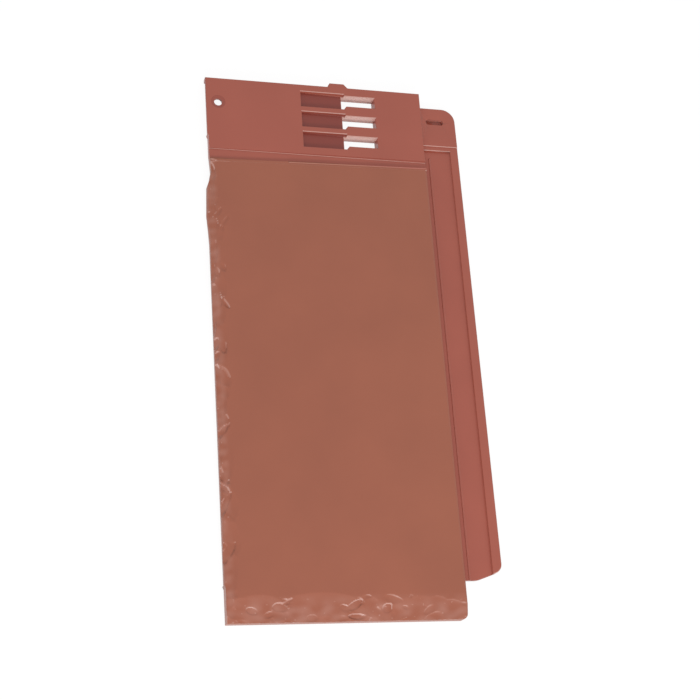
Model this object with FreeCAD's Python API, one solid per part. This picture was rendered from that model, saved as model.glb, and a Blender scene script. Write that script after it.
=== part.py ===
# Half roof slate: one injection-moulded shell, built face up as it lies on its skirts.
# X runs across the slate from its left edge to the underlap strip, Y from the tail to the head, Z out of the face.
# The origin ends up on the ground, under the middle of the outline.
import FreeCAD
import Part
import math
import os

# overall
length = 380.0          # tail edge to head edge
plateWidth = 156.7      # tail corner to the plate's right edge
stripWidth = 26.5       # underlap strip beyond the plate's right edge
faceHeight = 9.0        # exposed face above the ground
headDrop = 1.0          # head face below the exposed face

# moulding
skin = 2.6              # top wall
wall = 2.4              # skirts
ribWall = 1.8           # stiffening ribs underneath

# how a slate laps over the strip of the slate on its left
jointGap = 2.1          # open joint between two plates
lapRoom = 4.6           # free width beside the strip, under the left edge
lapGap = 0.4            # free height over the strip

# left edge
edgeOut = 0.7           # exposed edge outside the tail corner's foot
headInset = 1.1         # head zone's left edge inside the tail corner
headOut = 0.8           # the edge stands this far out again where the skirt is cut away
footLength = 24.0       # full-depth foot at the tail
footEase = 2.0          # the edge runs out to its full width over this length
chipBelowStep = 5.8     # top of the chipped notch, below the upper step
chipLength = 18.2
chipDepths = (0.5, 0.8, -0.4)
bulgeBelowChip = 23.6   # top of the bulge, below the top of the notch
bulgeLength = 42.2
bulgeCrest = 1.2        # the bulge's crest beyond the straight edge
bulgeShoulder = 0.5

# exposed zone
tailBevelLength = 13.0
tailBevelDrop = 2.8
leftBevelWidth = 5.5
leftBevelDrop = 1.2
rightBevelWidth = 1.6
rightBevelDrop = 0.8
tailCorner = 3.5        # corner radius, tail right

# hook pockets and slots
slotPitch = 15.9
slotCount = 3
pocketLeft = 68.2
pocketLength = 31.8
pocketHeight = 11.8
pocketFromHead = 5.35
pocketDepth = 2.6
throatLeft = 98.3       # where the pocket's floor ends and the opening begins
slotLeft = 100.4
slotRight = 122.4
slotHeight = 8.0
slotBelowPocket = 1.4   # slot's upper edge below the pocket's upper edge
slotWall = 2.0
lipLean = 1.0           # the throat's lower corner leans this far each way

# steps between the head and the exposed zone; the last edges slant a little across the slate
pocketLand = 5.65       # flat between the lowest pocket and the upper step
stepDrop = 0.4
lowerStepFall = (0.4, 1.5)      # below the upper step, at the left and at the right
zoneFall = (9.6, 5.1)
beadHeight = 0.4
beadWidth = 1.0
beadStart = 56.0        # where the bead starts, from the left

# tab on the head edge
tabLeft = 88.3
tabBase = 14.8
tabTop = 10.3
tabHeight = 3.0
tabLean = 1.7
tabThick = 5.0

# nail hole
nailX = 8.8
nailFromHead = 18.6
nailRadius = 2.8
nailRimDepth = 0.6      # shallow sunk rim
nailRimRadius = 5.1

# underside
tailSolid = 6.4         # solid nose at the tail
noseRoofLength = 6.0    # lower roof behind the nose, under the bevel
noseRoofDrop = 1.6
headRoofLead = 15.0     # the head's lower roof starts this far before the upper step
longRibs = 1
crossRibs = 3
bite = 0.4              # ribs and blocks run this far into the roof

# underlap strip
stripStart = 25.7       # tail end of the strip
stripHeadGap = 9.8      # strip's head edge below the plate's head edge
stripCorner = 9.8
stripFlare = 1.1        # the strip is this much wider at its tail end
stripTailFlat = 10.5    # straight run at the tail end, from the plate
stripTailRise = 5.8
stripTailRound = 12.0
stripTailCorner = 6.5
floorHeight = 2.4       # channel floor
bandDrop = 0.8          # outer rail and band below the strip's head
railWidth = 5.6
headStep = 40.3         # step from the strip's head to the band, below the head edge
bandWidth = 3.2
channelBeadGap = 0.1    # between the neighbour's skirt and the channel's bead
channelBeadWidth = 1.2
channelBeadHeight = 0.7
channelBeadEnd = 6.0    # the bead stops this far before the band
stripSlotLength = 13.3  # thin-floored nail slot in the strip's head
stripSlotWidth = 4.2
stripSlotDepth = 3.0
stripSlotBelowNail = 2.3
reliefWall = 3.0        # round the relief under the strip's head
reliefRoof = 1.8

overshoot = 1.0


def box(x0, x1, y0, y1, z0, z1):
    return Part.makeBox(x1 - x0, y1 - y0, z1 - z0, FreeCAD.Vector(x0, y0, z0))


def prism(points, z0, z1):
    wire = Part.makePolygon([FreeCAD.Vector(x, y, z0) for x, y in points + points[:1]])
    return Part.Face(wire).extrude(FreeCAD.Vector(0, 0, z1 - z0))


# prism of a plan outline; each point is x, y and the radius of its corner
def rounded(points, z0, z1):
    ends = []
    count = len(points)
    for i, (x, y, r) in enumerate(points):
        p = FreeCAD.Vector(x, y, z0)
        a = FreeCAD.Vector(points[i - 1][0], points[i - 1][1], z0) - p
        b = FreeCAD.Vector(points[(i + 1) % count][0], points[(i + 1) % count][1], z0) - p
        a.normalize()
        b.normalize()
        if r <= 0:
            ends.append((p, None, p))
            continue
        half = a.getAngle(b) / 2
        cut = r / math.tan(half)
        middle = (a + b).normalize() * (r / math.sin(half) - r)
        ends.append((p + a * cut, p + middle, p + b * cut))
    edges = []
    for i, (first, mid, last) in enumerate(ends):
        if mid is not None:
            edges.append(Part.Arc(first, mid, last).toShape())
        after = ends[(i + 1) % count][0]
        if last.distanceToPoint(after) > 1e-6:
            edges.append(Part.LineSegment(last, after).toShape())
    return Part.Face(Part.Wire(edges)).extrude(FreeCAD.Vector(0, 0, z1 - z0))


def obround(x0, x1, y, width, z0, z1):
    r = width / 2
    shape = box(x0 + r, x1 - r, y - r, y + r, z0, z1)
    for x in (x0 + r, x1 - r):
        shape = shape.fuse(Part.makeCylinder(r, z1 - z0, FreeCAD.Vector(x, y, z0)))
    return shape.removeSplitter()


def profileAlongX(points, x0, x1):
    wire = Part.makePolygon([FreeCAD.Vector(x0, y, z) for y, z in points + points[:1]])
    return Part.Face(wire).extrude(FreeCAD.Vector(x1 - x0, 0, 0))


def profileAlongY(points, y0, y1):
    wire = Part.makePolygon([FreeCAD.Vector(x, y0, z) for x, z in points + points[:1]])
    return Part.Face(wire).extrude(FreeCAD.Vector(0, y1 - y0, 0))


# levels, and places along the slate
headHeight = faceHeight - headDrop
faceRoof = faceHeight - skin
noseRoof = faceRoof - noseRoofDrop
headRoof = headHeight - skin
skirtLift = floorHeight + lapGap
stripHeadHeight = headRoof - lapGap
railHeight = stripHeadHeight - bandDrop
lapClear = stripWidth - jointGap + lapRoom
pocketTop = length - pocketFromHead
pocketsEnd = pocketTop - slotPitch * (slotCount - 1) - pocketHeight
yUpper = pocketsEnd - pocketLand
yLowerLeft, yLowerRight = (yUpper - fall for fall in lowerStepFall)
yZoneLeft, yZoneRight = (yUpper - fall for fall in zoneFall)
chipTop = yUpper - chipBelowStep
bulgeTop = chipTop - bulgeBelowChip
yHeadStep = length - headStep
yBandStep = yHeadStep - bandWidth
skirtEnd = yBandStep - lapGap
left = -2 * footLength
right = plateWidth + stripWidth
above = faceHeight + 5 * overshoot

# plan outline of the plate: head zone set in, a chipped notch, a bulge, then a straight exposed edge
leftEdge = [(headInset - headOut, length), (headInset - headOut, skirtEnd),
            (headInset, skirtEnd - footEase), (headInset, chipTop)]
for i, depth in enumerate(chipDepths):
    leftEdge.append((headInset + depth, chipTop - chipLength * (i + 1) / len(chipDepths)))
leftEdge += [
    (-edgeOut - bulgeShoulder, bulgeTop),
    (-edgeOut - bulgeCrest, bulgeTop - bulgeLength / 2),
    (-edgeOut - bulgeShoulder, bulgeTop - bulgeLength * 3 / 4),
    (-edgeOut, bulgeTop - bulgeLength),
    (-edgeOut, footLength),
    (0.0, footLength - footEase),
    (0.0, 0.0),
]
outline = [(x, y, 0.0) for x, y in leftEdge] + [(plateWidth, 0.0, tailCorner), (plateWidth, length, 0.0)]
outer = rounded(outline, 0.0, faceHeight)

# head zone and the steps down to the groove above the exposed zone
outer = outer.cut(box(left, right, yUpper, length + overshoot, headHeight, above))
band = [(left, yLowerLeft), (right, yLowerRight), (right, yUpper), (left, yUpper)]
outer = outer.cut(prism(band, headHeight - stepDrop, above))
groove = [(left, yZoneLeft), (right, yZoneRight), (right, yLowerRight), (left, yLowerLeft)]
outer = outer.cut(prism(groove, headHeight - 2 * stepDrop, above))

# bead along the right part of the exposed zone's upper edge
slope = (yZoneRight - yZoneLeft) / (right - left)
beadY = yZoneLeft + slope * (beadStart - left)
beadEndY = yZoneLeft + slope * (plateWidth - left)
bead = prism([(beadStart, beadY - beadWidth), (plateWidth, beadEndY - beadWidth),
              (plateWidth, beadEndY), (beadStart, beadY)], faceHeight - overshoot, faceHeight + beadHeight)
outer = outer.fuse(bead)

# bevels of the exposed zone: tail, left and right
tailSlope = tailBevelDrop / tailBevelLength
tailCut = profileAlongX([(-overshoot, faceHeight - tailBevelDrop - tailSlope * overshoot),
                         (tailBevelLength, faceHeight), (tailBevelLength, above), (-overshoot, above)], left, right)
leftSlope = leftBevelDrop / (leftBevelWidth + edgeOut)
leftCut = profileAlongY([(left, faceHeight - leftSlope * (leftBevelWidth - left)), (leftBevelWidth, faceHeight),
                         (leftBevelWidth, above), (left, above)], -overshoot, yZoneLeft)
rightSlope = rightBevelDrop / rightBevelWidth
rightCut = profileAlongY([(plateWidth - rightBevelWidth, faceHeight),
                          (plateWidth + overshoot, faceHeight - rightBevelDrop - rightSlope * overshoot),
                          (plateWidth + overshoot, above), (plateWidth - rightBevelWidth, above)],
                         -overshoot, beadEndY - 2 * beadWidth)
outer = outer.cut(tailCut).cut(leftCut).cut(rightCut)

# tab on the head edge
tab = prism([(tabLeft, length - overshoot), (tabLeft + tabBase, length - overshoot), (tabLeft + tabBase, length),
             (tabLeft + tabLean + tabTop, length + tabHeight), (tabLeft + tabLean, length + tabHeight),
             (tabLeft, length)], headHeight - tabThick, headHeight)

# hollow underneath, in three heights: behind the nose, under the face and under the head
inner = plateWidth - wall
noseEnd = tailSolid + noseRoofLength
headRoofStart = yUpper - headRoofLead
hollow = box(wall, inner, noseEnd, headRoofStart, -overshoot, faceRoof)
hollow = hollow.fuse(box(wall, inner, tailSolid, noseEnd + overshoot, -overshoot, noseRoof))
hollow = hollow.fuse(box(wall, inner, headRoofStart - overshoot, length - wall, -overshoot, headRoof))
hollow = hollow.cut(box(wall - overshoot, lapClear + ribWall, footLength - wall, footLength,
                        -2 * overshoot, faceHeight))
plate = outer.fuse(tab).cut(hollow)

# lift the left skirt, and the head's skirt beside it, over the next slate's strip, and end it at the strip's head
plate = plate.cut(box(left, wall + overshoot, footLength, length - wall, -overshoot, skirtLift))
plate = plate.cut(box(left, wall + overshoot, skirtEnd, length - wall, -overshoot, headRoof))
plate = plate.cut(box(left, lapClear, length - wall - overshoot, length + overshoot, -overshoot, skirtLift))

# ribs: the lap's stop, the long ribs beyond it, and the cross ribs
ribs = box(lapClear, lapClear + ribWall, footLength - wall, length - overshoot, 0.0, headRoof + bite)
ribs = ribs.fuse(box(lapClear, lapClear + ribWall, footLength - wall, headRoofStart, 0.0, faceRoof + bite))
span = (inner - lapClear) / (longRibs + 1)
for i in range(1, longRibs + 1):
    x = lapClear + span * i
    ribs = ribs.fuse(box(x, x + ribWall, tailSolid - overshoot, headRoofStart, 0.0, noseRoof + bite))
    ribs = ribs.fuse(box(x, x + ribWall, noseEnd, headRoofStart, 0.0, faceRoof + bite))
for i in range(1, crossRibs + 1):
    y = footLength + (headRoofStart - footLength) * i / crossRibs
    ribs = ribs.fuse(box(lapClear, inner + bite, y - ribWall, y, 0.0, faceRoof + bite))
plate = plate.fuse(ribs)

# hook pockets and slots, with walls that reach the ground
slotTop = pocketTop - slotBelowPocket
plate = plate.fuse(box(throatLeft - slotWall, slotRight + slotWall, pocketsEnd - slotWall, length - overshoot,
                       0.0, headRoof + bite))
plate = plate.fuse(box(pocketLeft - slotWall, throatLeft, pocketsEnd - slotWall, length - overshoot,
                       headHeight - pocketDepth - slotWall, headRoof + bite))
for i in range(slotCount):
    top = pocketTop - slotPitch * i
    edge = slotTop - slotPitch * i
    plate = plate.cut(box(pocketLeft, pocketLeft + pocketLength, top - pocketHeight, top,
                          headHeight - pocketDepth, headHeight + overshoot))
    plate = plate.cut(prism([(throatLeft, edge), (throatLeft, top - pocketHeight),
                             (slotLeft - lipLean, top - pocketHeight), (slotLeft + lipLean, edge - slotHeight),
                             (slotRight, edge - slotHeight), (slotRight, edge)],
                            -overshoot, headHeight + overshoot))

# nail hole with a shallow sunk rim
nail = FreeCAD.Vector(nailX, length - nailFromHead, 0.0)
rimFloor = nail + FreeCAD.Vector(0, 0, headHeight - nailRimDepth)
plate = plate.cut(Part.makeCone(nailRadius, nailRimRadius, nailRimDepth, rimFloor))
plate = plate.cut(Part.makeCylinder(nailRadius, headHeight, nail))

# underlap strip: head, then band and outer rail, then the channel's floor
stripRight = plateWidth + stripWidth
stripTop = length - stripHeadGap
root = plateWidth - wall / 2
strip = rounded([(root, stripStart, 0.0), (plateWidth + stripTailFlat, stripStart, stripTailRound),
                 (stripRight + stripFlare, stripStart + stripTailRise, stripTailCorner),
                 (stripRight, stripTop, stripCorner), (root, stripTop, 0.0)], 0.0, stripHeadHeight)
strip = strip.cut(box(root - overshoot, stripRight + 2 * stripFlare, stripStart - overshoot, yHeadStep,
                      railHeight, stripHeadHeight + overshoot))
strip = strip.cut(box(root - overshoot, stripRight - railWidth, stripStart - overshoot, yBandStep,
                      floorHeight, stripHeadHeight + overshoot))
beadLeft = plateWidth + jointGap + wall + channelBeadGap
strip = strip.fuse(box(beadLeft, beadLeft + channelBeadWidth, stripStart, yBandStep - channelBeadEnd,
                       floorHeight - overshoot, floorHeight + channelBeadHeight))

# nail slot in the strip's head, under the neighbour's nail hole, and the relief below it
slotMiddle = plateWidth + jointGap + nailX
slotY = length - nailFromHead - stripSlotBelowNail
strip = strip.cut(obround(slotMiddle - stripSlotLength / 2, slotMiddle + stripSlotLength / 2, slotY, stripSlotWidth,
                          stripHeadHeight - stripSlotDepth, stripHeadHeight + overshoot))
strip = strip.cut(box(plateWidth, stripRight - reliefWall, yBandStep + reliefWall,
                      slotY - stripSlotWidth / 2 - reliefWall, -overshoot, reliefRoof))

slate = plate.fuse(strip).removeSplitter()
bounds = slate.BoundBox
slate.translate(FreeCAD.Vector(-bounds.Center.x, -bounds.Center.y, -bounds.ZMin))
solid = slate.Solids[0]

os.makedirs("parts", exist_ok=True)
solid.exportStep("parts/half_slate.step")
print("solids", len(slate.Solids), "valid", solid.isValid(), "volume cm3", round(solid.Volume / 1000, 1))
print("size", round(bounds.XLength, 2), round(bounds.YLength, 2), round(bounds.ZLength, 2))
print("shift", round(bounds.Center.x, 3), round(bounds.Center.y, 3))
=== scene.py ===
import bpy
import bmesh
import math
import random
from mathutils import Matrix, Vector, noise
from mathutils.bvhtree import BVHTree


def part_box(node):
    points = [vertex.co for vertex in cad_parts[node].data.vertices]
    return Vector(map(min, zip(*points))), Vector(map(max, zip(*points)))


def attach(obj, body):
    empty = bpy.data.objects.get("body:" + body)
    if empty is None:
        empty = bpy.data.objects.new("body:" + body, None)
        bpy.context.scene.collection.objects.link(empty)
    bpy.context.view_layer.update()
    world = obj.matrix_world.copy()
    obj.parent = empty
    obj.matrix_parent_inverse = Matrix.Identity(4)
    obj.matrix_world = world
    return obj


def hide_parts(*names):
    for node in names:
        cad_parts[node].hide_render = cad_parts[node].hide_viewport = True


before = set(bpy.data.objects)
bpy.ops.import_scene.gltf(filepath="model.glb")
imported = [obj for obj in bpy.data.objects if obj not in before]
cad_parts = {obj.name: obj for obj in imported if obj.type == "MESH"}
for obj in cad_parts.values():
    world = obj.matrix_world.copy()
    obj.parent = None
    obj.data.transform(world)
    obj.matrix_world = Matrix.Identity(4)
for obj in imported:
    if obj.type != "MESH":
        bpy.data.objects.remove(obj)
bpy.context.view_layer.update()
cadLow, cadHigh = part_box("half_slate")
print("frame loaded", [round(1000 * (cadHigh[i] - cadLow[i]), 1) for i in range(3)], "mm")


def hexToLinear(code):
    channels = [int(code[i:i + 2], 16) / 255 for i in (0, 2, 4)]
    return tuple(c / 12.92 if c <= 0.04045 else ((c + 0.055) / 1.055) ** 2.4 for c in channels) + (1.0,)


def addNode(tree, kind, settings=None, **links):
    node = tree.nodes.new(kind)
    for name, value in (settings or {}).items():
        if name.startswith("in:"):
            key = name[3:]
            node.inputs[int(key) if key.isdigit() else key].default_value = value
        else:
            setattr(node, name, value)
    for name, source in links.items():
        key = name.replace("_", " ")
        target = node.inputs[int(key[3:])] if key.startswith("at ") else node.inputs[key]
        tree.links.new(source, target)
    return node


# camera: high above the slate, off its left side and its tail, and turned a little as it looks down
cameraSpec = dict(place=(-281.65, -360.3, 925.8), lens=78.9, sensor=36.0, reach=10)
cameraRight = Vector((0.96094, -0.06901, 0.26801))
cameraDown = Vector((0.02965, -0.93716, -0.34763))
cameraData = bpy.data.cameras.new("viewCamera")
cameraData.lens = cameraSpec["lens"]
cameraData.sensor_width = cameraSpec["sensor"]
cameraData.clip_end = cameraSpec["reach"]
camera = bpy.data.objects.new("viewCamera", cameraData)
bpy.context.scene.collection.objects.link(camera)
turn = Matrix((cameraRight, -cameraDown, -cameraRight.cross(cameraDown))).transposed()
camera.matrix_world = Matrix.Translation(Vector(cameraSpec["place"]) / 1000) @ turn.to_4x4()
bpy.context.scene.camera = camera
print("camera set")


# the exposed zone and its edges, in millimetres from the tail's left corner
zoneSpec = dict(
    cornerX=1.9,            # tail corner, from the box's left side
    plateRight=156.7,
    edgeOut=0.7,            # exposed edge outside the tail corner
    face=9.0,
    zoneLeft=315.8,         # upper edge of the zone, at the left and at the right
    zoneRight=320.3,
    tailBevel=(13.0, 2.8),
    tailEase=18.0,          # the bevel rounds over into the face by here
    leftBevel=(5.5, 1.2),
    edgeRound=1.8,          # the left edge falls away over this width
    edgeFall=1.6,
    lowNose=(5.0, 12.0),    # sound height at the tail, and how far in it reaches the roof's own
    lowSide=(5.6, 2.3),
    lowRoof=7.25,
    skim=0.07,              # the riven face lies this far under the plain one
)
corner = Vector((cadLow.x + zoneSpec["cornerX"] / 1000, cadLow.y, cadLow.z))


# flakes struck off the edges: centre along the edge and in from it, reach along, reach in, depth,
# and turn in degrees
flakeSpec = dict(
    detail=4,
    spread=0.25,
    seed=11,
    tailTilt=(4, 10),       # degrees
    leftTilt=(4, 14),
    sprayTurn=45,
    tall=(3, 0.8),          # a striking ball's height: times the depth, and added
    tail=[(6, 4, 13, 8, 0.7, 12), (22, 2, 14, 11, 0.8, -6), (37, 3, 9, 7, 0.6, 20), (56, 1, 22, 14, 0.9, 4),
          (66, -1, 12, 8, 0.8, -14), (80, 3, 10, 7, 0.7, 18), (91, 4, 7, 9, 0.6, -10),
          (101, 1, 13, 8, 0.8, 10), (112, 5, 8, 8, 0.6, -22), (126, 2, 17, 13, 0.8, -4),
          (134, 5, 7, 7, 0.6, 25), (148, 2, 11, 10, 0.8, -12)],
    left=[(308, 0, 7, 4, 2.6, 8), (297, 0, 16, 3, 1.2, 0), (276, 0, 22, 3, 1.4, 2), (262, 3, 8, 5, 0.8, 25),
          (246, 0, 14, 4, 1.3, -5), (228, 2, 9, 6, 1.0, 30), (216, 1, 9, 5, 1.3, 18),
          (203, 0, 14, 7, 1.0, -8), (186, 1, 17, 6, 0.9, 4), (161, 1, 12, 6, 1.9, 34),
          (152, 1, 10, 5, 1.4, 28), (136, 0, 16, 5, 1.2, -6), (112, 2, 18, 7, 1.0, 3),
          (92, 1, 12, 6, 1.3, -14), (76, 3, 14, 6, 1.1, 16), (58, 2, 12, 8, 1.2, 24),
          (38, 2, 14, 7, 1.1, 10), (22, 2, 12, 6, 1.2, -8), (8, 1, 12, 5, 1.4, 6)],
    # smaller chips between them: count, range across and along, reach across and along, depth, tilt
    sprays=[(60, (2, 155), (-1, 10), (2.5, 8), (1.5, 4), (0.35, 0.8), 18),
            (60, (2, 155), (0, 14), (1.2, 3.5), (0.8, 2.2), (0.3, 0.6), 26),
            (38, (-1.5, 3.2), (4, 300), (1.2, 3), (3, 10), (0.3, 0.8), 14),
            (36, (-1, 7), (4, 300), (0.8, 2.2), (1.5, 6), (0.25, 0.5), 18)],
)


def flakeTree():
    tree = bpy.data.node_groups.new("edgeFlakes", "GeometryNodeTree")
    tree.is_modifier = True
    face = tree.interface
    face.new_socket("Geometry", in_out="INPUT", socket_type="NodeSocketGeometry")
    for name, kind in (("Flake Detail", "NodeSocketInt"), ("Size Spread", "NodeSocketFloat"),
                       ("Seed", "NodeSocketInt"), ("Material", "NodeSocketMaterial")):
        face.new_socket(name, in_out="INPUT", socket_type=kind)
    face.new_socket("Geometry", in_out="OUTPUT", socket_type="NodeSocketGeometry")
    given = addNode(tree, "NodeGroupInput")
    size = addNode(tree, "GeometryNodeInputNamedAttribute",
                   {"data_type": "FLOAT_VECTOR", "in:Name": "flakeSize"})
    turnBy = addNode(tree, "GeometryNodeInputNamedAttribute",
                     {"data_type": "FLOAT_VECTOR", "in:Name": "flakeTurn"})
    turned = addNode(tree, "FunctionNodeEulerToRotation", Euler=turnBy.outputs["Attribute"])
    low = addNode(tree, "ShaderNodeMath", {"operation": "SUBTRACT", "in:0": 1.0},
                  at_1=given.outputs["Size Spread"])
    high = addNode(tree, "ShaderNodeMath", {"operation": "ADD", "in:0": 1.0},
                   at_1=given.outputs["Size Spread"])
    lowAll = addNode(tree, "ShaderNodeCombineXYZ", {"in:Z": 1.0}, X=low.outputs[0], Y=low.outputs[0])
    highAll = addNode(tree, "ShaderNodeCombineXYZ", {"in:Z": 1.0}, X=high.outputs[0], Y=high.outputs[0])
    chance = addNode(tree, "FunctionNodeRandomValue", {"data_type": "FLOAT_VECTOR"})
    tree.links.new(lowAll.outputs[0], chance.inputs[0])
    tree.links.new(highAll.outputs[0], chance.inputs[1])
    tree.links.new(given.outputs["Seed"], chance.inputs["Seed"])
    scaled = addNode(tree, "ShaderNodeVectorMath", {"operation": "MULTIPLY"},
                     at_0=size.outputs["Attribute"], at_1=chance.outputs[0])
    ball = addNode(tree, "GeometryNodeMeshIcoSphere", {"in:Radius": 1.0},
                   Subdivisions=given.outputs["Flake Detail"])
    onPoints = addNode(tree, "GeometryNodeInstanceOnPoints", Points=given.outputs["Geometry"],
                       Instance=ball.outputs["Mesh"], Rotation=turned.outputs[0], Scale=scaled.outputs[0])
    real = addNode(tree, "GeometryNodeRealizeInstances", Geometry=onPoints.outputs[0])
    finished = addNode(tree, "GeometryNodeSetMaterial", Geometry=real.outputs[0],
                       Material=given.outputs["Material"])
    out = addNode(tree, "NodeGroupOutput")
    tree.links.new(finished.outputs[0], out.inputs[0])
    return tree


# the plain bevels that the riven face starts from
def plainHeight(x, y):
    face = zoneSpec["face"]
    length, drop = zoneSpec["tailBevel"]
    width, leftDrop = zoneSpec["leftBevel"]
    z = min(face, face - drop * (1 - max(y, -1.0) / length))
    ease = zoneSpec["tailEase"]
    if y < ease:
        z = min(z, face - drop * (1 - max(y, 0.0) / ease) ** 2)
    inset = max(x + zoneSpec["edgeOut"], -1.0)
    z = min(z, face - leftDrop * (1 - inset / (width + zoneSpec["edgeOut"])))
    roundWidth = zoneSpec["edgeRound"]
    if inset < roundWidth:
        z -= zoneSpec["edgeFall"] * (1 - inset / roundWidth) ** 2
    return z


# how low a scar may reach and still leave a sound wall over the hollow
def lowestScar(x, y):
    nose, side, roof = zoneSpec["lowNose"], zoneSpec["lowSide"], zoneSpec["lowRoof"]
    atTail = nose[0] + (roof - nose[0]) * max(y, 0.0) / nose[1]
    atLeft = side[0] + (roof - side[0]) * max(x, -zoneSpec["edgeOut"]) / side[1]
    return min(atTail, atLeft, roof)


# each flake: x, y, reach across, reach along, depth, turn, tilt across and tilt along, in degrees
def flakePoints():
    chance = random.Random(flakeSpec["seed"])
    turn = flakeSpec["sprayTurn"]
    flakes = []
    for x, y, along, inward, depth, angle in flakeSpec["tail"]:
        flakes.append((x, y, along, inward, depth, angle, 0,
                       chance.uniform(*flakeSpec["tailTilt"])))
    for y, x, along, inward, depth, angle in flakeSpec["left"]:
        flakes.append((x, y, inward, along, depth, angle,
                       -chance.uniform(*flakeSpec["leftTilt"]), 0))
    for count, rangeX, rangeY, reachX, reachY, depth, tilt in flakeSpec["sprays"]:
        for _ in range(count):
            flakes.append((chance.uniform(*rangeX), chance.uniform(*rangeY), chance.uniform(*reachX),
                           chance.uniform(*reachY), chance.uniform(*depth), chance.uniform(-turn, turn),
                           chance.uniform(-tilt, tilt), chance.uniform(-tilt, tilt)))
    return flakes


def makeFlakes():
    flakes = flakePoints()
    points = bpy.data.meshes.new("flakePoints")
    places, sizes, turns = [], [], []
    tallTimes, tallAdded = flakeSpec["tall"]
    for x, y, across, along, depth, angle, tiltX, tiltY in flakes:
        tall = tallTimes * depth + tallAdded
        widen = 1 / math.sqrt(1 - (1 - depth / tall) ** 2)
        places.append((x / 1000, y / 1000, (plainHeight(x, y) + tall - depth) / 1000))
        sizes += [across * widen / 1000, along * widen / 1000, tall / 1000]
        turns += [math.radians(tiltY), math.radians(tiltX), math.radians(angle)]
    points.from_pydata(places, [], [])
    for name, values in (("flakeSize", sizes), ("flakeTurn", turns)):
        points.attributes.new(name, "FLOAT_VECTOR", "POINT").data.foreach_set("vector", values)
    holder = bpy.data.objects.new("flakeTool", points)
    bpy.context.scene.collection.objects.link(holder)
    tree = flakeTree()
    modifier = holder.modifiers.new("edgeFlakes", "NODES")
    modifier.node_group = tree
    inputs = {item.name: item.identifier for item in tree.interface.items_tree if item.in_out == "INPUT"}
    modifier[inputs["Flake Detail"]] = flakeSpec["detail"]
    modifier[inputs["Size Spread"]] = flakeSpec["spread"]
    modifier[inputs["Seed"]] = flakeSpec["seed"]
    bpy.context.view_layer.update()
    depsgraph = bpy.context.evaluated_depsgraph_get()
    result = bpy.data.meshes.new_from_object(holder.evaluated_get(depsgraph))
    tool = BVHTree.FromPolygons([tuple(v.co * 1000) for v in result.vertices],
                                [tuple(p.vertices) for p in result.polygons])
    print("flakes struck:", len(flakes), "faces", len(result.polygons))
    bpy.data.objects.remove(holder)
    bpy.data.meshes.remove(result)
    return tool


def stations(breaks):
    values = [breaks[0][0]]
    for start, end, step in breaks:
        count = max(1, round((end - start) / step))
        values += [start + (end - start) * (i + 1) / count for i in range(count)]
    return values


# the cutter: everything above the riven face, closed with a flat lid; across the slate it is fine
# all along the tail, and only in the left band above it
cutterSpec = dict(
    across=[(-3.2, 15.2, 0.46), (15.2, 151.7, 0.5), (151.7, 158.0, 0.7)],   # from, to and step
    along=[(-1.2, 19.6, 0.46), (19.6, 299.6, 0.8), (299.6, 314.8, 0.8)],
    fineTo=19.6,
    leftBand=15.2,
    rightBand=151.7,
    skipEvery=6,
    lid=12.0,
    leanFrom=290.0,         # from here the rows lean towards the zone's slanting upper edge
    leanShort=1.6,
    wave=(0.10, 38.0, 0.6, 3.7),      # depth, length, stretch along and slice of the noise
    ripple=(0.05, 9.0, 1.0, 8.1),
    grit=((4.2, 0.42), (1.5, 0.24)),
    gritFade=(13.0, 6.5),   # from the tail and from the left edge
    scarRough=0.3,
    headward=0.1,
    breakHighlight=(0.40, 1.0, 0.5),       # slope where the painted highlight on a break starts, gain and most
    bevelLightMottle=dict(tail=17.0, left=6.0, level=0.05, swing=0.12, cloud=(7.0, 1.5, 5.3),
                speck=(2.1, 1.6, 2.2), rare=0.62, glintLift=0.2),
)


# noise at a place on the face; size is its length, stretch squeezes it along the slate
def faceNoise(x, y, size, stretch, level):
    return noise.noise((x / size, y / size * stretch, level))


def gritWeight(x, y):
    fadeTail, fadeLeft = cutterSpec["gritFade"]
    tail = max(0.0, 1 - max(y, 0.0) / fadeTail) ** 0.5
    edge = max(0.0, 1 - max(x, 0.0) / fadeLeft) ** 0.5
    return max(tail, edge)


# the riven bands along the tail and the left edge, bevels that face the lamp, are a little paler: painted
# light, mottled at random, with a few bright specks that are painted highlights
def bevelLightAndGlints(x, y):
    spec = cutterSpec["bevelLightMottle"]
    band = max(1 - max(y, 0.0) / spec["tail"], 1 - max(x, 0.0) / spec["left"], 0.0)
    if band <= 0:
        return 0.0
    cloud = faceNoise(x, y, *spec["cloud"])
    speck = faceNoise(x, y, *spec["speck"])
    band = min(1.0, 2 * band)
    glintLift = spec["glintLift"] if speck > spec["rare"] else 0.0
    return band * max(0.0, spec["level"] + spec["swing"] * cloud + glintLift)


def rivenHeight(tool, x, y):
    z = plainHeight(x, y) - zoneSpec["skim"]
    for depth, *shape in (cutterSpec["wave"], cutterSpec["ripple"]):
        z -= depth * (0.5 + 0.5 * faceNoise(x, y, *shape))
    weight = gritWeight(x, y)
    if weight > 0:
        for size, height in cutterSpec["grit"]:
            z -= weight * height * (0.5 + 0.5 * faceNoise(x, y, size, 1.0, size))
    hit = tool.ray_cast(Vector((x, y, 0.0)), Vector((0, 0, 1)))[0]
    if hit is not None and hit.z < z:
        z = max(hit.z + cutterSpec["scarRough"] * (plainHeight(x, y) - z), min(z, lowestScar(x, y)))
    return z


def leaning(x, y, last):
    start = cutterSpec["leanFrom"]
    share = max(0.0, (y - start) / (last - start))
    rise = zoneSpec["zoneRight"] - zoneSpec["zoneLeft"] - cutterSpec["leanShort"]
    return y + (x / zoneSpec["plateRight"]) * rise * share ** 2


# painted highlight: a steep scar face that faces the tail, towards the lamp, is paler
def breakHighlight(face, middle):
    onset, gain, most = cutterSpec["breakHighlight"]
    slope = math.hypot(face.normal.x, face.normal.y)
    steep = middle.z < cutterSpec["lid"] - 1 and face.normal.y > cutterSpec["headward"]
    return min(most, max(0.0, slope - onset) * gain) if steep else 0.0


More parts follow.
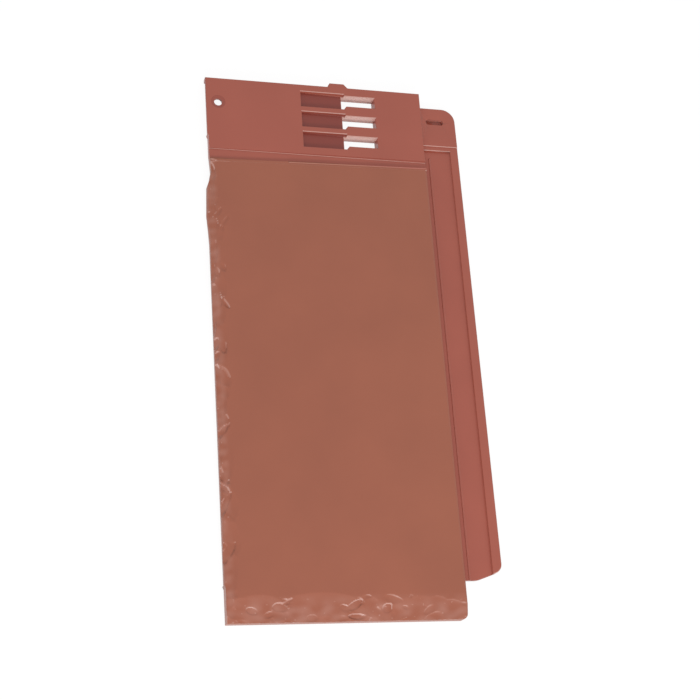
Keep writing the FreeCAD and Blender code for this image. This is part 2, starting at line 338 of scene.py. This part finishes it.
def makeCutter(tool):
    across = stations(cutterSpec["across"])
    along = stations(cutterSpec["along"])
    last = along[-1]
    every = range(len(across))
    few = [i for i in every if across[i] <= cutterSpec["leftBand"]
           or across[i] >= cutterSpec["rightBand"] or i % cutterSpec["skipEvery"] == 0]
    mesh = bmesh.new()
    rows = []
    for y in along:
        row = {}
        for i in (every if y <= cutterSpec["fineTo"] + 0.01 else few):
            x = across[i]
            leant = leaning(x, y, last)
            row[i] = mesh.verts.new((x, leant, rivenHeight(tool, x, leant)))
        rows.append(row)
    for lower, upper in zip(rows, rows[1:]):
        steps = list(upper)
        for a, b in zip(steps, steps[1:]):
            between = [lower[i] for i in range(b, a - 1, -1) if i in lower]
            mesh.faces.new([upper[a], upper[b]] + between)
    firstX, lastX = 0, len(across) - 1
    rim = ([rows[0][i] for i in every] + [row[lastX] for row in rows[1:]]
           + [rows[-1][i] for i in reversed(few[:-1])] + [row[firstX] for row in reversed(rows[1:-1])])
    lid = [mesh.verts.new((v.co.x, v.co.y, cutterSpec["lid"])) for v in rim]
    for k in range(len(rim)):
        after = (k + 1) % len(rim)
        mesh.faces.new((rim[k], rim[after], lid[after], lid[k]))
    mesh.faces.new(lid)
    bmesh.ops.recalc_face_normals(mesh, faces=mesh.faces)
    # painted light on the riven face: lit bevels with a random mottle, glints and steep breaks facing the
    # lamp
    light = mesh.faces.layers.float.new("paintedLightAndMottle")
    for face in mesh.faces:
        middle = face.calc_center_median()
        face[light] = bevelLightAndGlints(middle.x, middle.y) + breakHighlight(face, middle)
    toFrame = Matrix.Translation(corner) @ Matrix.Scale(0.001, 4)
    bmesh.ops.transform(mesh, matrix=toFrame, verts=mesh.verts)
    data = bpy.data.meshes.new("rivenCutter")
    mesh.to_mesh(data)
    mesh.free()
    cutter = bpy.data.objects.new("rivenCutter", data)
    bpy.context.scene.collection.objects.link(cutter)
    return cutter


# moulded edges are broken by a hair's radius, which catches the light
finishSpec = dict(
    weld=2e-6,              # metres
    sharpAngle=32,
    roundAngle=40,
    weight=80,
    wide=0.45,
    narrow=0.24,
    shortest=0.5,
    level=0.1,              # an edge that rises less than this lies flat
    lowEdge=3.5,
    beads=(2.9, 3.3),
    stepFloor=7,
    steps=(318.0, 326.5),
    topBead=9.2,
    zoneEdge=8.9,
    tailward=0.25,
    # painted highlights on the rounded edges that face the tail and on the beads
    edgeHighlight=0.55,
    zoneHighlight=0.25,
    beadHighlight=0.14,
    lipLight=1.0,
    lipFacing=0.5,
    pocketShade=(0.75, 0.375),         # floor and walls
    pockets=(67.5, 98.6),
    pocketRim=7.3,
    rimShade=0.35,
    rimFacing=(-0.1, 0.99),
    slots=((98.0, 122.8), (331.0, 374.0)),
    nail=(8.8, 361.4, 5.3),
    well=((158.0, 176.5), (355.0, 363.5)),
)


def inRange(value, pair):
    return pair[0] < value < pair[1]


def nearNail(x, y):
    nailX, nailY, reach = finishSpec["nail"]
    return math.hypot(x - nailX, y - nailY) < reach


# which radius an edge takes: the small steps and beads take a smaller one, and some edges none
def edgeRadius(edge):
    spec = finishSpec
    if len(edge.link_faces) != 2 or not edge.is_convex:
        return None
    if edge.calc_length() < spec["shortest"] / 1000:
        return None
    if edge.calc_face_angle() < math.radians(spec["roundAngle"]):
        return None
    start, end = (vert.co for vert in edge.verts)
    x, y, z = 1000 * ((start + end) / 2 - corner)
    inWell = inRange(x, spec["well"][0]) and inRange(y, spec["well"][1])
    if abs(start.z - end.z) >= spec["level"] / 1000 or inWell or nearNail(x, y):
        return None
    onStep = z > spec["stepFloor"] and inRange(y, spec["steps"])
    if inRange(z, spec["beads"]) or onStep or z > spec["topBead"]:
        return "narrow"
    return "wide" if z > spec["lowEdge"] else None


def roundEdges(data):
    mesh = bmesh.new()
    mesh.from_mesh(data)
    groups = {"wide": [], "narrow": []}
    for edge in mesh.edges:
        size = edgeRadius(edge)
        if size:
            groups[size].append(edge)
    for size in groups:
        edges = [edge for edge in groups[size] if edge.is_valid]
        bmesh.ops.bevel(mesh, geom=edges, offset=finishSpec[size] / 1000, segments=2, profile=0.5,
                        affect="EDGES", clamp_overlap=False, material=1)
        print("edges rounded,", size, len(edges))
    print("open edges after rounding", sum(not edge.is_manifold for edge in mesh.edges))
    mesh.to_mesh(data)
    mesh.free()


def bakeModifiers(piece):
    bpy.context.view_layer.update()
    depsgraph = bpy.context.evaluated_depsgraph_get()
    result = bpy.data.meshes.new_from_object(piece.evaluated_get(depsgraph))
    piece.modifiers.clear()
    old = piece.data
    piece.data = result
    bpy.data.meshes.remove(old)
    result.name = piece.name
    return result


# how much painted light and painted shade a face of the moulding takes; rounded edges come with material
# index 1
def faceLightAndShade(face):
    spec = finishSpec
    x, y, z = (1000 * (face.center[i] - corner[i]) for i in range(3))
    inSlots = inRange(y, spec["slots"][1])
    # rounded edges on the beads and those facing the tail take painted highlights
    if face.material_index:
        if z < spec["beads"][1]:
            return spec["beadHighlight"], 0.0
        if face.normal.y < -spec["tailward"]:
            return (spec["zoneHighlight"] if z > spec["zoneEdge"] else spec["edgeHighlight"]), 0.0
        return 0.0, 0.0
    # the slot walls that face the tail take painted light
    if inSlots and inRange(x, spec["slots"][0]) and face.normal.y < -spec["lipFacing"]:
        return spec["lipLight"], 0.0
    # the pocket floors and walls take painted shade
    if inSlots and inRange(x, spec["pockets"]) and inRange(z, (spec["lowEdge"], spec["pocketRim"])):
        onFloor, onWall = spec["pocketShade"]
        return 0.0, (onFloor if face.normal.z > 0.5 else onWall)
    # the sunk rim round the nail hole takes painted shade
    if nearNail(x, y) and inRange(face.normal.z, spec["rimFacing"]):
        return 0.0, spec["rimShade"]
    return 0.0, 0.0


# rounded edges facing the tail and the beads take painted highlights and the slot lips painted light, while
# the pockets and the nail rim take painted shade; both values ride on the faces
def markLightAndShade(mesh):
    tones = [faceLightAndShade(face) for face in mesh.polygons]
    for face in mesh.polygons:
        face.material_index = 0
    for name, values in zip(("paintedLightAndMottle", "paintedShadeMix"), zip(*tones)):
        mesh.attributes.new(name, "FLOAT", "FACE").data.foreach_set("value", values)


def makeSlate():
    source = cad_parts["half_slate"]
    data = source.data.copy()
    data.name = "rivenSlate"
    whole = bmesh.new()
    whole.from_mesh(data)
    bmesh.ops.remove_doubles(whole, verts=whole.verts, dist=finishSpec["weld"])
    whole.to_mesh(data)
    whole.free()
    slate = bpy.data.objects.new("rivenSlate", data)
    bpy.context.scene.collection.objects.link(slate)
    roundEdges(data)
    markLightAndShade(data)
    cutter = makeCutter(makeFlakes())
    cut = slate.modifiers.new("riving", "BOOLEAN")
    cut.operation = "DIFFERENCE"
    cut.solver = "MANIFOLD"
    cut.object = cutter
    result = bakeModifiers(slate)
    bpy.data.objects.remove(cutter)
    result.materials.clear()
    result.shade_smooth()
    result.set_sharp_from_angle(angle=math.radians(finishSpec["sharpAngle"]))
    level = slate.modifiers.new("evenFaces", "WEIGHTED_NORMAL")
    level.weight = finishSpec["weight"]
    level.keep_sharp = True
    result = bakeModifiers(slate)
    check = bmesh.new()
    check.from_mesh(result)
    openEdges = sum(not edge.is_manifold for edge in check.edges)
    print("slate cut:", len(result.polygons), "faces, open edges", openEdges, "volume cm3",
          round(check.calc_volume() * 1e6, 1))
    check.free()
    return slate


polymerSpec = dict(
    exposed=("a86048", "ae644b"),   # brick brown of the weathering face, two tones of one batch
    moulded=("b05c4b", "b6604e"),   # the redder polish of the head and the strip
    pale="f8cfc4",                  # painted light: lit bevels and breaks, edge highlights and slot lips
    paintedShadeColour="86352d",                  # painted shade in the pockets and the nail rim
    cloud=0.045,                    # metres, as is the grain
    cloudRange=(0.3, 0.7),
    grain=0.0011,
    grainBump=(0.06, 0.0002),       # strength and depth
    roughness=0.34,
    sheen=0.6,
    ior=1.5,
    stepY=0.1268,                   # where the exposed face ends, from the middle of the slate
    plateX=0.0655,
)


# filled polypropylene, injection moulded: a satin face that clouds slightly where the filler shows,
# browner where the mould is grained and redder where it is smooth
def polymerMaterial():
    spec = polymerSpec
    material = bpy.data.materials.new("mouldedTerracottaPolymer")
    material.use_nodes = True
    tree = material.node_tree
    tree.nodes.clear()
    where = addNode(tree, "ShaderNodeTexCoord")
    clouds = addNode(tree, "ShaderNodeTexNoise", {"in:Scale": 1 / spec["cloud"], "in:Detail": 3.0},
                     Vector=where.outputs["Object"])
    least, most = spec["cloudRange"]
    spread = addNode(tree, "ShaderNodeMapRange", {"in:From Min": least, "in:From Max": most},
                     Value=clouds.outputs["Fac"])
    tones = []
    for pair in (spec["exposed"], spec["moulded"]):
        first, second = (hexToLinear(code) for code in pair)
        tones.append(addNode(tree, "ShaderNodeMix", {"data_type": "RGBA", "in:6": first, "in:7": second},
                             at_0=spread.outputs[0]))
    axes = addNode(tree, "ShaderNodeSeparateXYZ", Vector=where.outputs["Object"])
    inHead = addNode(tree, "ShaderNodeMath", {"operation": "GREATER_THAN", "in:1": spec["stepY"]},
                     at_0=axes.outputs["Y"])
    inStrip = addNode(tree, "ShaderNodeMath", {"operation": "GREATER_THAN", "in:1": spec["plateX"]},
                      at_0=axes.outputs["X"])
    smooth = addNode(tree, "ShaderNodeMath", {"operation": "MAXIMUM"}, at_0=inHead.outputs[0],
                     at_1=inStrip.outputs[0])
    tone = addNode(tree, "ShaderNodeMix", {"data_type": "RGBA"}, at_0=smooth.outputs[0],
                   at_6=tones[0].outputs[2], at_7=tones[1].outputs[2])
    # the pale colour is mixed in as painted light on lit bevels, breaks, edges and slot lips, over a random
    # mottle; the deep colour is painted shade in the pockets and the nail rim
    paintedLightMark = addNode(tree, "ShaderNodeAttribute", {"attribute_name": "paintedLightAndMottle"})
    withPaintedLight = addNode(tree, "ShaderNodeMix", {"data_type": "RGBA", "in:7": hexToLinear(spec["pale"])},
                   at_0=paintedLightMark.outputs["Fac"], at_6=tone.outputs[2])
    paintedShadeMark = addNode(tree, "ShaderNodeAttribute", {"attribute_name": "paintedShadeMix"})
    withPaintedShade = addNode(tree, "ShaderNodeMix", {"data_type": "RGBA", "in:7": hexToLinear(spec["paintedShadeColour"])},
                       at_0=paintedShadeMark.outputs["Fac"], at_6=withPaintedLight.outputs[2])
    grain = addNode(tree, "ShaderNodeTexNoise", {"in:Scale": 1 / spec["grain"], "in:Detail": 2.0},
                    Vector=where.outputs["Object"])
    strength, depth = spec["grainBump"]
    bump = addNode(tree, "ShaderNodeBump", {"in:Strength": strength, "in:Distance": depth},
                   Height=grain.outputs["Fac"])
    satin = {"in:Roughness": spec["roughness"], "in:IOR": spec["ior"], "in:Specular IOR Level": spec["sheen"]}
    shader = addNode(tree, "ShaderNodeBsdfPrincipled", satin, Base_Color=withPaintedShade.outputs[2],
                     Normal=bump.outputs[0])
    addNode(tree, "ShaderNodeOutputMaterial", Surface=shader.outputs[0])
    return material


slate = makeSlate()
slate.data.materials.append(polymerMaterial())
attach(slate, "root")
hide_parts("half_slate")
print("slate finished")


# studio: pale floor that reads white, an even pale sky and one lamp beyond the tail
studioSpec = dict(
    floorSize=5.0,
    floorTone=0.8,
    floorGlow=0.92,
    floorShade=0.12,
    sky=0.81,
    lampPower=5.0,
    lampSize=(0.6, 0.3),
    lampPlace=(-0.10, -1.05, 0.70),
)


# seen directly, in a reflection or through something, the floor glows near white and still takes
# the slate's shadow; to every other ray it is a plain pale floor
def makeFloor():
    floorMesh = bpy.data.meshes.new("studioFloor")
    half = studioSpec["floorSize"] / 2
    z = cadLow.z
    corners = [(-half, -half, z), (half, -half, z), (half, half, z), (-half, half, z)]
    floorMesh.from_pydata(corners, [], [(0, 1, 2, 3)])
    floor = bpy.data.objects.new("studioFloor", floorMesh)
    bpy.context.scene.collection.objects.link(floor)
    material = bpy.data.materials.new("paleFloor")
    material.use_nodes = True
    tree = material.node_tree
    tree.nodes.clear()
    path = addNode(tree, "ShaderNodeLightPath")
    direct = addNode(tree, "ShaderNodeMath", {"operation": "MAXIMUM"},
                     at_0=path.outputs["Is Camera Ray"], at_1=path.outputs["Is Glossy Ray"])
    either = addNode(tree, "ShaderNodeMath", {"operation": "MAXIMUM"}, at_0=direct.outputs[0],
                     at_1=path.outputs["Is Transmission Ray"])
    pale, thin = (addNode(tree, "ShaderNodeBsdfDiffuse", {"in:Color": (tone, tone, tone, 1.0)})
                  for tone in (studioSpec["floorTone"], studioSpec["floorShade"]))
    glow = addNode(tree, "ShaderNodeEmission", {"in:Strength": studioSpec["floorGlow"]})
    both = addNode(tree, "ShaderNodeAddShader", at_0=thin.outputs[0], at_1=glow.outputs[0])
    mixed = addNode(tree, "ShaderNodeMixShader", at_0=either.outputs[0], at_1=pale.outputs[0],
                    at_2=both.outputs[0])
    addNode(tree, "ShaderNodeOutputMaterial", Surface=mixed.outputs[0])
    floorMesh.materials.append(material)


def makeSky():
    world = bpy.data.worlds.new("paleSky")
    world.use_nodes = True
    sky = world.node_tree
    sky.nodes.clear()
    skyPath = addNode(sky, "ShaderNodeLightPath")
    level = addNode(sky, "ShaderNodeMapRange", {"in:To Min": studioSpec["sky"], "in:To Max": 1.0},
                    Value=skyPath.outputs["Is Camera Ray"])
    back = addNode(sky, "ShaderNodeBackground", Strength=level.outputs[0])
    addNode(sky, "ShaderNodeOutputWorld", Surface=back.outputs[0])
    bpy.context.scene.world = world


def makeLamp():
    lampData = bpy.data.lights.new("tailStrip", "AREA")
    lampData.shape = "RECTANGLE"
    lampData.energy = studioSpec["lampPower"]
    lampData.size, lampData.size_y = studioSpec["lampSize"]
    lamp = bpy.data.objects.new("tailStrip", lampData)
    lamp.location = studioSpec["lampPlace"]
    lamp.rotation_euler = Vector(studioSpec["lampPlace"]).to_track_quat("Z", "Y").to_euler()
    bpy.context.scene.collection.objects.link(lamp)


makeFloor()
makeSky()
makeLamp()
bpy.context.scene.view_settings.view_transform = "Standard"
print("studio set")
